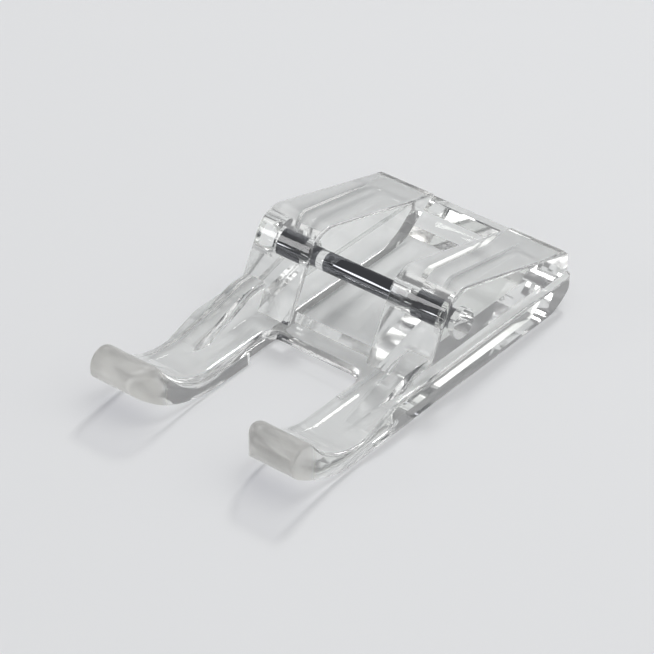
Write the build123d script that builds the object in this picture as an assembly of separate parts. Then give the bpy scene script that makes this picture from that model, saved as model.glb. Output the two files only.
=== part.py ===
from build123d import *
import os
from math import acos, cos, degrees, radians, sin, tan

os.makedirs("parts", exist_ok=True)

# Clip-on open-toe presser foot, in millimetres.
# X runs across the foot, Y from the toes back to the heel, Z up; the sole lies on Z = 0.
# Lengths named "..._ahead" are measured forward from the axis of the steel pin.

# Sole, seen from above
length = 32.7
width = 18.8
toe_gap = 8.2
gap_end_ahead = 6.0
gap_corner_radius = 0.8
tip_outer_radius = 0.9
tip_inner_radius = 3.2
tip_corner_lead = 0.4
heel_corner_radius = 0.6

# Sole, seen from the side
sole_thickness = 1.5
toe_curve_radius = 12.9
toe_curve_angle = 36.2
toe_tip_thickness = 2.6
toe_top_radius = 6.7
toe_edge_radius = 0.8
heel_curve_radius = 4.8
heel_rise = 2.0

# Cheeks and the steel pin between them
cheek_gap = 7.2
cheek_thickness = 5.25
cheek_front_ahead = 3.0
cheek_lean = 27.9
cheek_height = 8.16
cheek_crown_radius = 2.45
cheek_heel_radius = 0.4
cheek_edge_radius = 0.25
roof_fall = 15.5
pin_diameter = 1.6
pin_length = 15.2
pin_height = 4.7
pin_to_heel = 12.85
pin_chamfer = 0.16
hole_mouth_diameter = 2.4

# Well floor between the cheeks, and the cross wall behind it
floor_height = 2.2
floor_front_ahead = 3.65
wall_height = 4.05
wall_top_length = 0.7
wall_slope = 35.0

# Outer rails, and the ribs that brace the cheeks
toe_flat_run = 0.5
ramp_run = 6.1
ramp_foot_radius = 2.4
rail_height = 2.5
rail_brow_radius = 3.0
rail_edge_radius = 0.25
rib_thickness = 2.3
rib_height = 3.5
rib_brow_radius = 4.0
rib_edge_radius = 0.5

# Stitch tunnel under the foot
tunnel_width = 9.2
tunnel_depth = 1.0
tunnel_front_ahead = 8.5

# Places that follow from the sizes above
heel = length / 2
toe = -length / 2
pin_y = heel - pin_to_heel
gap_end = pin_y - gap_end_ahead
cheek_inner = cheek_gap / 2
cheek_outer = cheek_inner + cheek_thickness
rib_inner = cheek_outer - rib_thickness
root_height = sole_thickness / 2
sky = 2 * cheek_height

# Toe curves: the underside arc, the round tip and the hollow top run smoothly into each other
toe_angle = radians(toe_curve_angle)
tip_radius = toe_tip_thickness / 2
tip_reach = toe_curve_radius - tip_radius
tip_centre = Vector(toe + tip_radius, toe_curve_radius - tip_reach * cos(toe_angle))
toe_start = tip_centre.X + tip_reach * sin(toe_angle)
top_reach = toe_top_radius + tip_radius
top_angle = acos((sole_thickness + toe_top_radius - tip_centre.Y) / top_reach)
toe_top_start = tip_centre.X + top_reach * sin(top_angle)
ramp_front = toe_top_start + toe_flat_run
rail_full = ramp_front + ramp_run * (rail_height - sole_thickness) / (rib_height - sole_thickness)
heel_angle = acos(1 - heel_rise / heel_curve_radius)
heel_start = heel - heel_curve_radius * sin(heel_angle)


def front_face(z):
    """Y of the leaning front face of the cheeks at height z."""
    return pin_y - cheek_front_ahead + (z - pin_height) * tan(radians(cheek_lean))


def roof(y):
    """Height of the falling roof line of the cheeks at y."""
    return cheek_height - (y - front_face(cheek_height)) * tan(radians(roof_fall))


def across(profile, inner, outer):
    """Push a side profile out from X = inner to X = outer."""
    return Pos(inner, 0, 0) * extrude(Plane.YZ * profile, outer - inner)


def both_sides(piece):
    """A piece together with its mirror image on the other side of the foot."""
    return piece + mirror(piece, Plane.YZ)


def side_profile(*upper):
    """Side view above the ground: plumb toe fronts, hollow toe tops, and an upper line to the heel."""
    tip = CenterArc(tip_centre, tip_radius, 180, -90 - degrees(top_angle))
    hollow_centre = (toe_top_start, sole_thickness + toe_top_radius)
    hollow = CenterArc(hollow_centre, toe_top_radius, 270, -degrees(top_angle))
    outline = Polyline((toe_top_start, sole_thickness), *upper, (heel, 0), (toe, 0), tip @ 0)
    return make_face([tip, hollow, outline])


def round_corner(face, corner, radius):
    """Round the one corner of a flat face that lies nearest to a point."""
    return fillet(face.vertices().sort_by_distance(corner)[:1], radius)


# Outline from above: two toes joined behind the gap, with rounded tips and heel corners
plan = Pos(0, -tip_corner_lead / 2) * Rectangle(width, length + tip_corner_lead)
plan = fillet(plan.vertices().group_by(Axis.Y)[-1], heel_corner_radius)
plan -= Pos(0, gap_end - length) * RectangleRounded(toe_gap, 2 * length, gap_corner_radius)
tip_front = toe - tip_corner_lead
for side in (-1, 1):
    plan = round_corner(plan, (side * width / 2, tip_front), tip_outer_radius)
    plan = round_corner(plan, (side * toe_gap / 2, tip_front), tip_inner_radius)

# Middle of the foot: thin toes, a low block with the well floor on top, and the cross wall at the heel
floor_front = pin_y - floor_front_ahead
floor_foot = floor_front - (floor_height - sole_thickness) * tan(radians(cheek_lean))
wall_top = heel - wall_top_length
wall_foot = wall_top - (wall_height - floor_height) / tan(radians(wall_slope))
middle = side_profile(
    (floor_foot, sole_thickness),
    (floor_front, floor_height),
    (wall_foot, floor_height),
    (wall_top, wall_height),
    (heel, wall_height),
)
body = across(middle, -cheek_outer, cheek_outer)

# Rails along both outer sides, rising from the toes in a long ramp, with rounded outer edges
ramp_foot = (ramp_front, sole_thickness)
rail_brow = (rail_full, rail_height)
rail = side_profile(ramp_foot, rail_brow, (heel, rail_height))
rail = round_corner(rail, ramp_foot, ramp_foot_radius)
rail = round_corner(rail, rail_brow, rail_brow_radius)
rail = across(rail, (rib_inner + cheek_outer) / 2, width / 2)
rail = fillet(rail.edges().group_by(Axis.X)[-1], rail_edge_radius)
body += both_sides(rail)

# Ribs that brace the cheeks from the front, carrying the ramp on above the rails, with rounded edges
rib_brow = (ramp_front + ramp_run, rib_height)
rib = side_profile(ramp_foot, rib_brow, (pin_y, rib_height), (pin_y, sole_thickness))
rib = round_corner(rib, ramp_foot, ramp_foot_radius)
rib = round_corner(rib, rib_brow, rib_brow_radius)
rib = across(rib, rib_inner, cheek_outer)
rib_edges = rib.edges().filter_by(Axis.X, reverse=True)
rib_edges = rib_edges.filter_by_position(Axis.Y, ramp_front, pin_y, (False, False))
rib = fillet(rib_edges.filter_by_position(Axis.Z, rail_height, rib_height), rib_edge_radius)
body += both_sides(rib)

# Cheeks with a rounded crown over the pin and a roof that falls to the heel
crown = (front_face(cheek_height), cheek_height)
heel_top = (heel, roof(heel))
cheek = Polyline(
    (front_face(root_height), root_height),
    crown,
    heel_top,
    (heel, heel_rise),
    (heel_start, root_height),
    close=True,
)
cheek = round_corner(make_face(cheek), crown, cheek_crown_radius)
cheek = round_corner(cheek, heel_top, cheek_heel_radius)
cheek = across(cheek, cheek_inner, cheek_outer)
cheek = fillet(cheek.edges().filter_by(Axis.X, reverse=True), cheek_edge_radius)
body += both_sides(cheek)

# Trim to the outline, and round the top edge of the toes all along the gap
body &= extrude(plan, sky)
toe_walls = body.faces().filter_by(Axis.X).filter_by_position(Axis.X, -toe_gap / 2, toe_gap / 2)
toe_edges = toe_walls.edges().filter_by_position(Axis.Y, toe, gap_end)
toe_edges = toe_edges.filter_by_position(Axis.Z, sole_thickness, cheek_height)
body = fillet(toe_edges, toe_edge_radius)

# Underside: raised heel, flat run and upturned toes
heel_arc = CenterArc((heel_start, heel_curve_radius), heel_curve_radius, 270, degrees(heel_angle))
flat = Line((heel_start, 0), (toe_start, 0))
toe_arc = CenterArc((toe_start, toe_curve_radius), toe_curve_radius, 270, -toe_curve_angle)
tip = CenterArc(tip_centre, tip_radius, 270 - toe_curve_angle, toe_curve_angle - 90)
above = Polyline(tip @ 1, (toe, sky), (heel, sky), (heel, heel_rise))
body &= across(make_face([heel_arc, flat, toe_arc, tip, above]), -width, width)

# Stitch tunnel under the foot, open to the heel
tunnel_front = pin_y - tunnel_front_ahead
tunnel_length = heel - tunnel_front
body -= Pos(0, tunnel_front + tunnel_length, 0) * Box(tunnel_width, 2 * tunnel_length, 2 * tunnel_depth)

# Hole for the pin, with a wider mouth in each cheek where the pin stops short
axis = Plane(origin=(0, pin_y, pin_height), x_dir=(0, 1, 0), z_dir=(1, 0, 0))
body -= extrude(axis * Circle(pin_diameter / 2), width, both=True)
body -= both_sides(Pos(pin_length / 2, 0, 0) * extrude(axis * Circle(hole_mouth_diameter / 2), width))

# Steel pin with chamfered ends
pin = extrude(axis * Circle(pin_diameter / 2), pin_length / 2, both=True)
pin = chamfer(pin.edges(), pin_chamfer)

export_step(body, "parts/foot_body.step")
export_step(pin, "parts/cross_pin.step")
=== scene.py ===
from math import radians

import bpy
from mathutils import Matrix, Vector


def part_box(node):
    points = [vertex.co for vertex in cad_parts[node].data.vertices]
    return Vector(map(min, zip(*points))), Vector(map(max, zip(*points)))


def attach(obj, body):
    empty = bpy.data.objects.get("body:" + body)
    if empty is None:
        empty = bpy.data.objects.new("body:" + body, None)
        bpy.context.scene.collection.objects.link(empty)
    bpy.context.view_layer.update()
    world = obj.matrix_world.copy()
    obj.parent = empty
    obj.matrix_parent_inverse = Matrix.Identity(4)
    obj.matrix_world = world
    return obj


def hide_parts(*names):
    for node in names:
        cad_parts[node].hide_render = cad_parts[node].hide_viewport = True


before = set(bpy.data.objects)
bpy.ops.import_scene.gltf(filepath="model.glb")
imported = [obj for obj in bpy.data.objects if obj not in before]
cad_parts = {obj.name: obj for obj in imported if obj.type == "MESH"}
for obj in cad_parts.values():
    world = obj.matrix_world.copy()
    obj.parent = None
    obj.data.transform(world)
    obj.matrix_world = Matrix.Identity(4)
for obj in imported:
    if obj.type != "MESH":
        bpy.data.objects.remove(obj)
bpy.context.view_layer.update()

# Presser foot body: one clear injection moulding in polycarbonate, with two upturned toes, two cheeks
# for the pin and a stitch tunnel underneath. A polished mould leaves it glossy, with faint flow waves;
# the toe tips, which rub on the cloth and the feed teeth, have gone hazy. Their grey colour is painted
# shade, standing in for the shade seen through the upturned tips.
MM = 0.001
BODY_TINT = "FBFCFA"
# Grey at the toe tips: painted shade, standing in for the shade seen through the upturned tips
TIP_PAINTED_SHADE = "DCDAD4"
BODY_IOR = 1.53
BODY_ROUGHNESS = 0.04
TIP_ROUGHNESS = 0.4
TIP_HAZE_AND_SHADE_FROM = -13.0 * MM
TIP_HAZE_AND_SHADE_TO = -14.8 * MM
FLOW_WAVE = 2.6 * MM
FLOW_DEPTH = 0.004 * MM
LIGHT_PASSED = "FFFFFF"
RIM_PASSED = "141418"
TIP_PASSED = "E0E0E3"
RIM_BLEND = 0.35
RIM_START = 0.42
RIM_FULL = 0.66


def linear(code):
    """An sRGB hex colour as linear red, green, blue and alpha."""
    values = [int(code[i : i + 2], 16) / 255 for i in (0, 2, 4)]
    return [v / 12.92 if v <= 0.04045 else ((v + 0.055) / 1.055) ** 2.4 for v in values] + [1.0]


def node(material, kind, settings=None, in_order=(), **by_name):
    """Add a node, set its settings, and set or link its inputs, in their order or by name."""
    made = material.node_tree.nodes.new("ShaderNode" + kind)
    for name, value in (settings or {}).items():
        setattr(made, name, value)
    inputs = list(zip(made.inputs, in_order))
    inputs += [(made.inputs[name.replace("_", " ")], value) for name, value in by_name.items()]
    for socket, value in inputs:
        if isinstance(value, bpy.types.NodeSocket):
            material.node_tree.links.new(value, socket)
        else:
            socket.default_value = value
    return made


def new_material(name):
    """A node material with no nodes yet."""
    material = bpy.data.materials.new(name)
    material.use_nodes = True
    material.node_tree.nodes.clear()
    return material


clear_plastic = new_material("clear moulded polycarbonate")
place = node(clear_plastic, "TexCoord").outputs["Object"]
flow = node(clear_plastic, "TexNoise", Vector=place, Scale=1 / FLOW_WAVE, Detail=1.0)
waves = node(clear_plastic, "Bump", Height=flow.outputs["Fac"], Strength=1.0, Distance=FLOW_DEPTH)
along = node(clear_plastic, "SeparateXYZ", Vector=place).outputs["Y"]
# Mask towards the toe tips: it makes them rough, darkens their colour grey as painted shade, and holds back
# a little more lamp light there
tip_haze_and_shade = node(
    clear_plastic,
    "MapRange",
    {"interpolation_type": "SMOOTHSTEP"},
    Value=along,
    From_Min=TIP_HAZE_AND_SHADE_FROM,
    From_Max=TIP_HAZE_AND_SHADE_TO,
).outputs["Result"]
gloss = node(clear_plastic, "MapRange", Value=tip_haze_and_shade, To_Min=BODY_ROUGHNESS, To_Max=TIP_ROUGHNESS)
# Body tint, turning grey at the tips: that grey is painted shade, not the plastic's own colour
tint_and_tip_shade = node(clear_plastic, "ValToRGB", Fac=tip_haze_and_shade)
for stop, colour in zip(tint_and_tip_shade.color_ramp.elements, (BODY_TINT, TIP_PAINTED_SHADE)):
    stop.color = linear(colour)
plastic = node(
    clear_plastic,
    "BsdfPrincipled",
    Base_Color=tint_and_tip_shade.outputs["Color"],
    Roughness=gloss.outputs["Result"],
    IOR=BODY_IOR,
    Transmission_Weight=1.0,
    Normal=waves.outputs["Normal"],
)

# Lamp light goes straight through the plastic. A surface that it meets at a slant holds most of it back,
# and the hazy tips hold back a little.
slant = node(clear_plastic, "LayerWeight", Blend=RIM_BLEND)
passed = node(clear_plastic, "ValToRGB", Fac=slant.outputs["Facing"])
rim_stops = ((RIM_START, LIGHT_PASSED), (RIM_FULL, RIM_PASSED))
for stop, (position, colour) in zip(passed.color_ramp.elements, rim_stops):
    stop.position = position
    stop.color = linear(colour)
dimmed = node(
    clear_plastic,
    "MixRGB",
    {"blend_type": "MULTIPLY"},
    Fac=tip_haze_and_shade,
    Color1=passed.outputs["Color"],
    Color2=linear(TIP_PASSED),
)
passing = node(clear_plastic, "BsdfTransparent", Color=dimmed.outputs["Color"])
ray = node(clear_plastic, "LightPath").outputs
lamp_rays = (ray["Is Shadow Ray"], ray["Is Diffuse Ray"])
lamp_ray = node(clear_plastic, "Math", {"operation": "MAXIMUM"}, lamp_rays)
shaders = (plastic.outputs["BSDF"], passing.outputs["BSDF"])
mix = node(clear_plastic, "MixShader", in_order=(lamp_ray.outputs["Value"], *shaders))
node(clear_plastic, "OutputMaterial", Surface=mix.outputs["Shader"])

foot_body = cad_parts["foot_body"]
for slot in foot_body.material_slots:
    slot.link = "OBJECT"
    slot.material = clear_plastic

# Cross pin: a short length of steel rod, pressed through both cheeks, which the holder clips onto. Its ends
# are drawn a hair thicker than the hole, so they meet the plastic, and its middle a hair thinner, so a film
# of air lies round it there. The polish mirrors the room in dark and bright stripes along the rod.
PIN_FIT = 0.003 * MM
PIN_SLACK = 0.016 * MM
GRIP_START = 5.2 * MM
GRIP_EASE = 0.15 * MM
PIN_CHAMFER = 0.16 * MM
PIN_SIDES = 96
END_ANGLE = radians(60)
SMOOTH_ANGLE = radians(25)
PIN_COLOUR = "77787C"
PIN_ROUGHNESS = 0.05

low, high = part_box("cross_pin")
pin_middle = (low + high) / 2
pin_radius = (high.z - low.z) / 2 + PIN_FIT
bpy.ops.object.select_all(action="DESELECT")
bpy.ops.mesh.primitive_cylinder_add(
    vertices=PIN_SIDES,
    radius=pin_radius,
    depth=high.x - low.x,
    location=pin_middle,
    rotation=(0, radians(90), 0),
)
cross_pin = bpy.context.object
cross_pin.name = "steel_cross_pin"
bpy.ops.object.transform_apply(location=True, rotation=True, scale=True)
ends = cross_pin.modifiers.new("chamfered ends", "BEVEL")
ends.width = PIN_CHAMFER
ends.segments = 1
ends.limit_method = "ANGLE"
ends.angle_limit = END_ANGLE
bpy.ops.object.modifier_apply(modifier=ends.name)
bpy.ops.object.shade_smooth_by_angle(angle=SMOOTH_ANGLE)

# The middle of the pin, between the two grips, drawn in to its smaller radius
bpy.ops.object.mode_set(mode="EDIT")
for cut in (-GRIP_START, -GRIP_START + GRIP_EASE, GRIP_START - GRIP_EASE, GRIP_START):
    bpy.ops.mesh.select_all(action="SELECT")
    bpy.ops.mesh.bisect(plane_co=(cut, 0, 0), plane_no=(1, 0, 0))
bpy.ops.mesh.select_all(action="DESELECT")
bpy.ops.object.mode_set(mode="OBJECT")
for vertex in cross_pin.data.vertices:
    vertex.select = abs(vertex.co.x) < GRIP_START - GRIP_EASE / 2
bpy.ops.object.mode_set(mode="EDIT")
slack_scale = 1 - PIN_SLACK / pin_radius
bpy.ops.transform.resize(value=(1, slack_scale, slack_scale), center_override=pin_middle)
bpy.ops.object.mode_set(mode="OBJECT")

pin_steel = new_material("polished steel rod")
steel = node(
    pin_steel,
    "BsdfPrincipled",
    Base_Color=linear(PIN_COLOUR),
    Metallic=1.0,
    Roughness=PIN_ROUGHNESS,
)
node(pin_steel, "OutputMaterial", Surface=steel.outputs["BSDF"])
cross_pin.data.materials.append(pin_steel)
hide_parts("cross_pin")
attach(cross_pin, "root")

# Floor: a smooth matt sheet of pale card with a faint cool cast, just under the sole. It has no gloss, so
# no lamp is mirrored in it beside the clear plastic.
FLOOR_COLOUR = "E6E7E8"
FLOOR_ROUGHNESS = 0.6
FLOOR_SIZE = 0.6
FLOOR_DROP = 0.02 * MM

bpy.ops.object.select_all(action="DESELECT")
bpy.ops.mesh.primitive_plane_add(size=FLOOR_SIZE, location=(0, 0, -FLOOR_DROP))
floor = bpy.context.object
floor.name = "pale_floor"
pale_card = new_material("smooth pale sheet")
sheet = node(
    pale_card,
    "BsdfPrincipled",
    Base_Color=linear(FLOOR_COLOUR),
    Roughness=FLOOR_ROUGHNESS,
    Specular_IOR_Level=0.0,
)
node(pale_card, "OutputMaterial", Surface=sheet.outputs["BSDF"])
floor.data.materials.append(pale_card)

# Light: a soft box behind throws the shadows forward, a lamp and a wide canopy hang overhead, a window
# stands low on the right, and a narrow one at the front left gives the stripe on the pin. The room is dim.
LIT_PLACE = Vector((0.0, -1.1, 3.0)) * MM
ROOM_COLOUR = "9C9C9E"
ROOM_STRENGTH = 0.72


def turn_towards(thing, target):
    """Point a lamp or a camera at a place."""
    thing.rotation_euler = (target - thing.location).to_track_quat("-Z", "Y").to_euler()


def soft_box(name, place, width, height, power):
    """An oblong lamp at a place in metres, with its size in metres and its power in watts."""
    lamp = bpy.data.lights.new(name, "AREA")
    lamp.shape = "RECTANGLE"
    lamp.size = width
    lamp.size_y = height
    lamp.energy = power
    box = bpy.data.objects.new(name, lamp)
    box.location = place
    turn_towards(box, LIT_PLACE)
    bpy.context.scene.collection.objects.link(box)


soft_box("back soft box", place=(-0.13, 0.37, 0.45), width=0.09, height=0.09, power=0.9)
soft_box("narrow front window", place=(-0.31, -0.441, 0.264), width=0.06, height=0.16, power=0.2)
soft_box("overhead lamp", place=(0.1, 0.0, 0.7), width=0.55, height=0.55, power=1.1)
soft_box("canopy", place=(0.35, 0.0, 0.75), width=1.0, height=1.0, power=2.5)
soft_box("right window", place=(0.6, 0.25, 0.25), width=0.8, height=0.8, power=1.2)

room = bpy.data.worlds.new("dim room")
room.use_nodes = True
room_light = room.node_tree.nodes["Background"]
room_light.inputs["Color"].default_value = linear(ROOM_COLOUR)
room_light.inputs["Strength"].default_value = ROOM_STRENGTH
bpy.context.scene.world = room

# Camera: the photograph's viewpoint. Light may bounce often, because it crosses many clear walls.
CAMERA_PLACE = Vector((119.514, -147.496, 136.940)) * MM
CAMERA_TARGET = Vector((0.006, -1.137, 3.0)) * MM
CAMERA_LENS = 175.85
CAMERA_SENSOR = 36.0
CAMERA_NEAR = 10 * MM
BOUNCES = 48

camera_data = bpy.data.cameras.new("photo camera")
camera_data.lens = CAMERA_LENS
camera_data.sensor_width = CAMERA_SENSOR
camera_data.clip_start = CAMERA_NEAR
camera = bpy.data.objects.new("photo camera", camera_data)
camera.location = CAMERA_PLACE
turn_towards(camera, CAMERA_TARGET)
scene = bpy.context.scene
scene.collection.objects.link(camera)
scene.camera = camera
scene.view_settings.view_transform = "Standard"
scene.cycles.max_bounces = BOUNCES
scene.cycles.transmission_bounces = BOUNCES
scene.cycles.glossy_bounces = BOUNCES
scene.cycles.transparent_max_bounces = BOUNCES
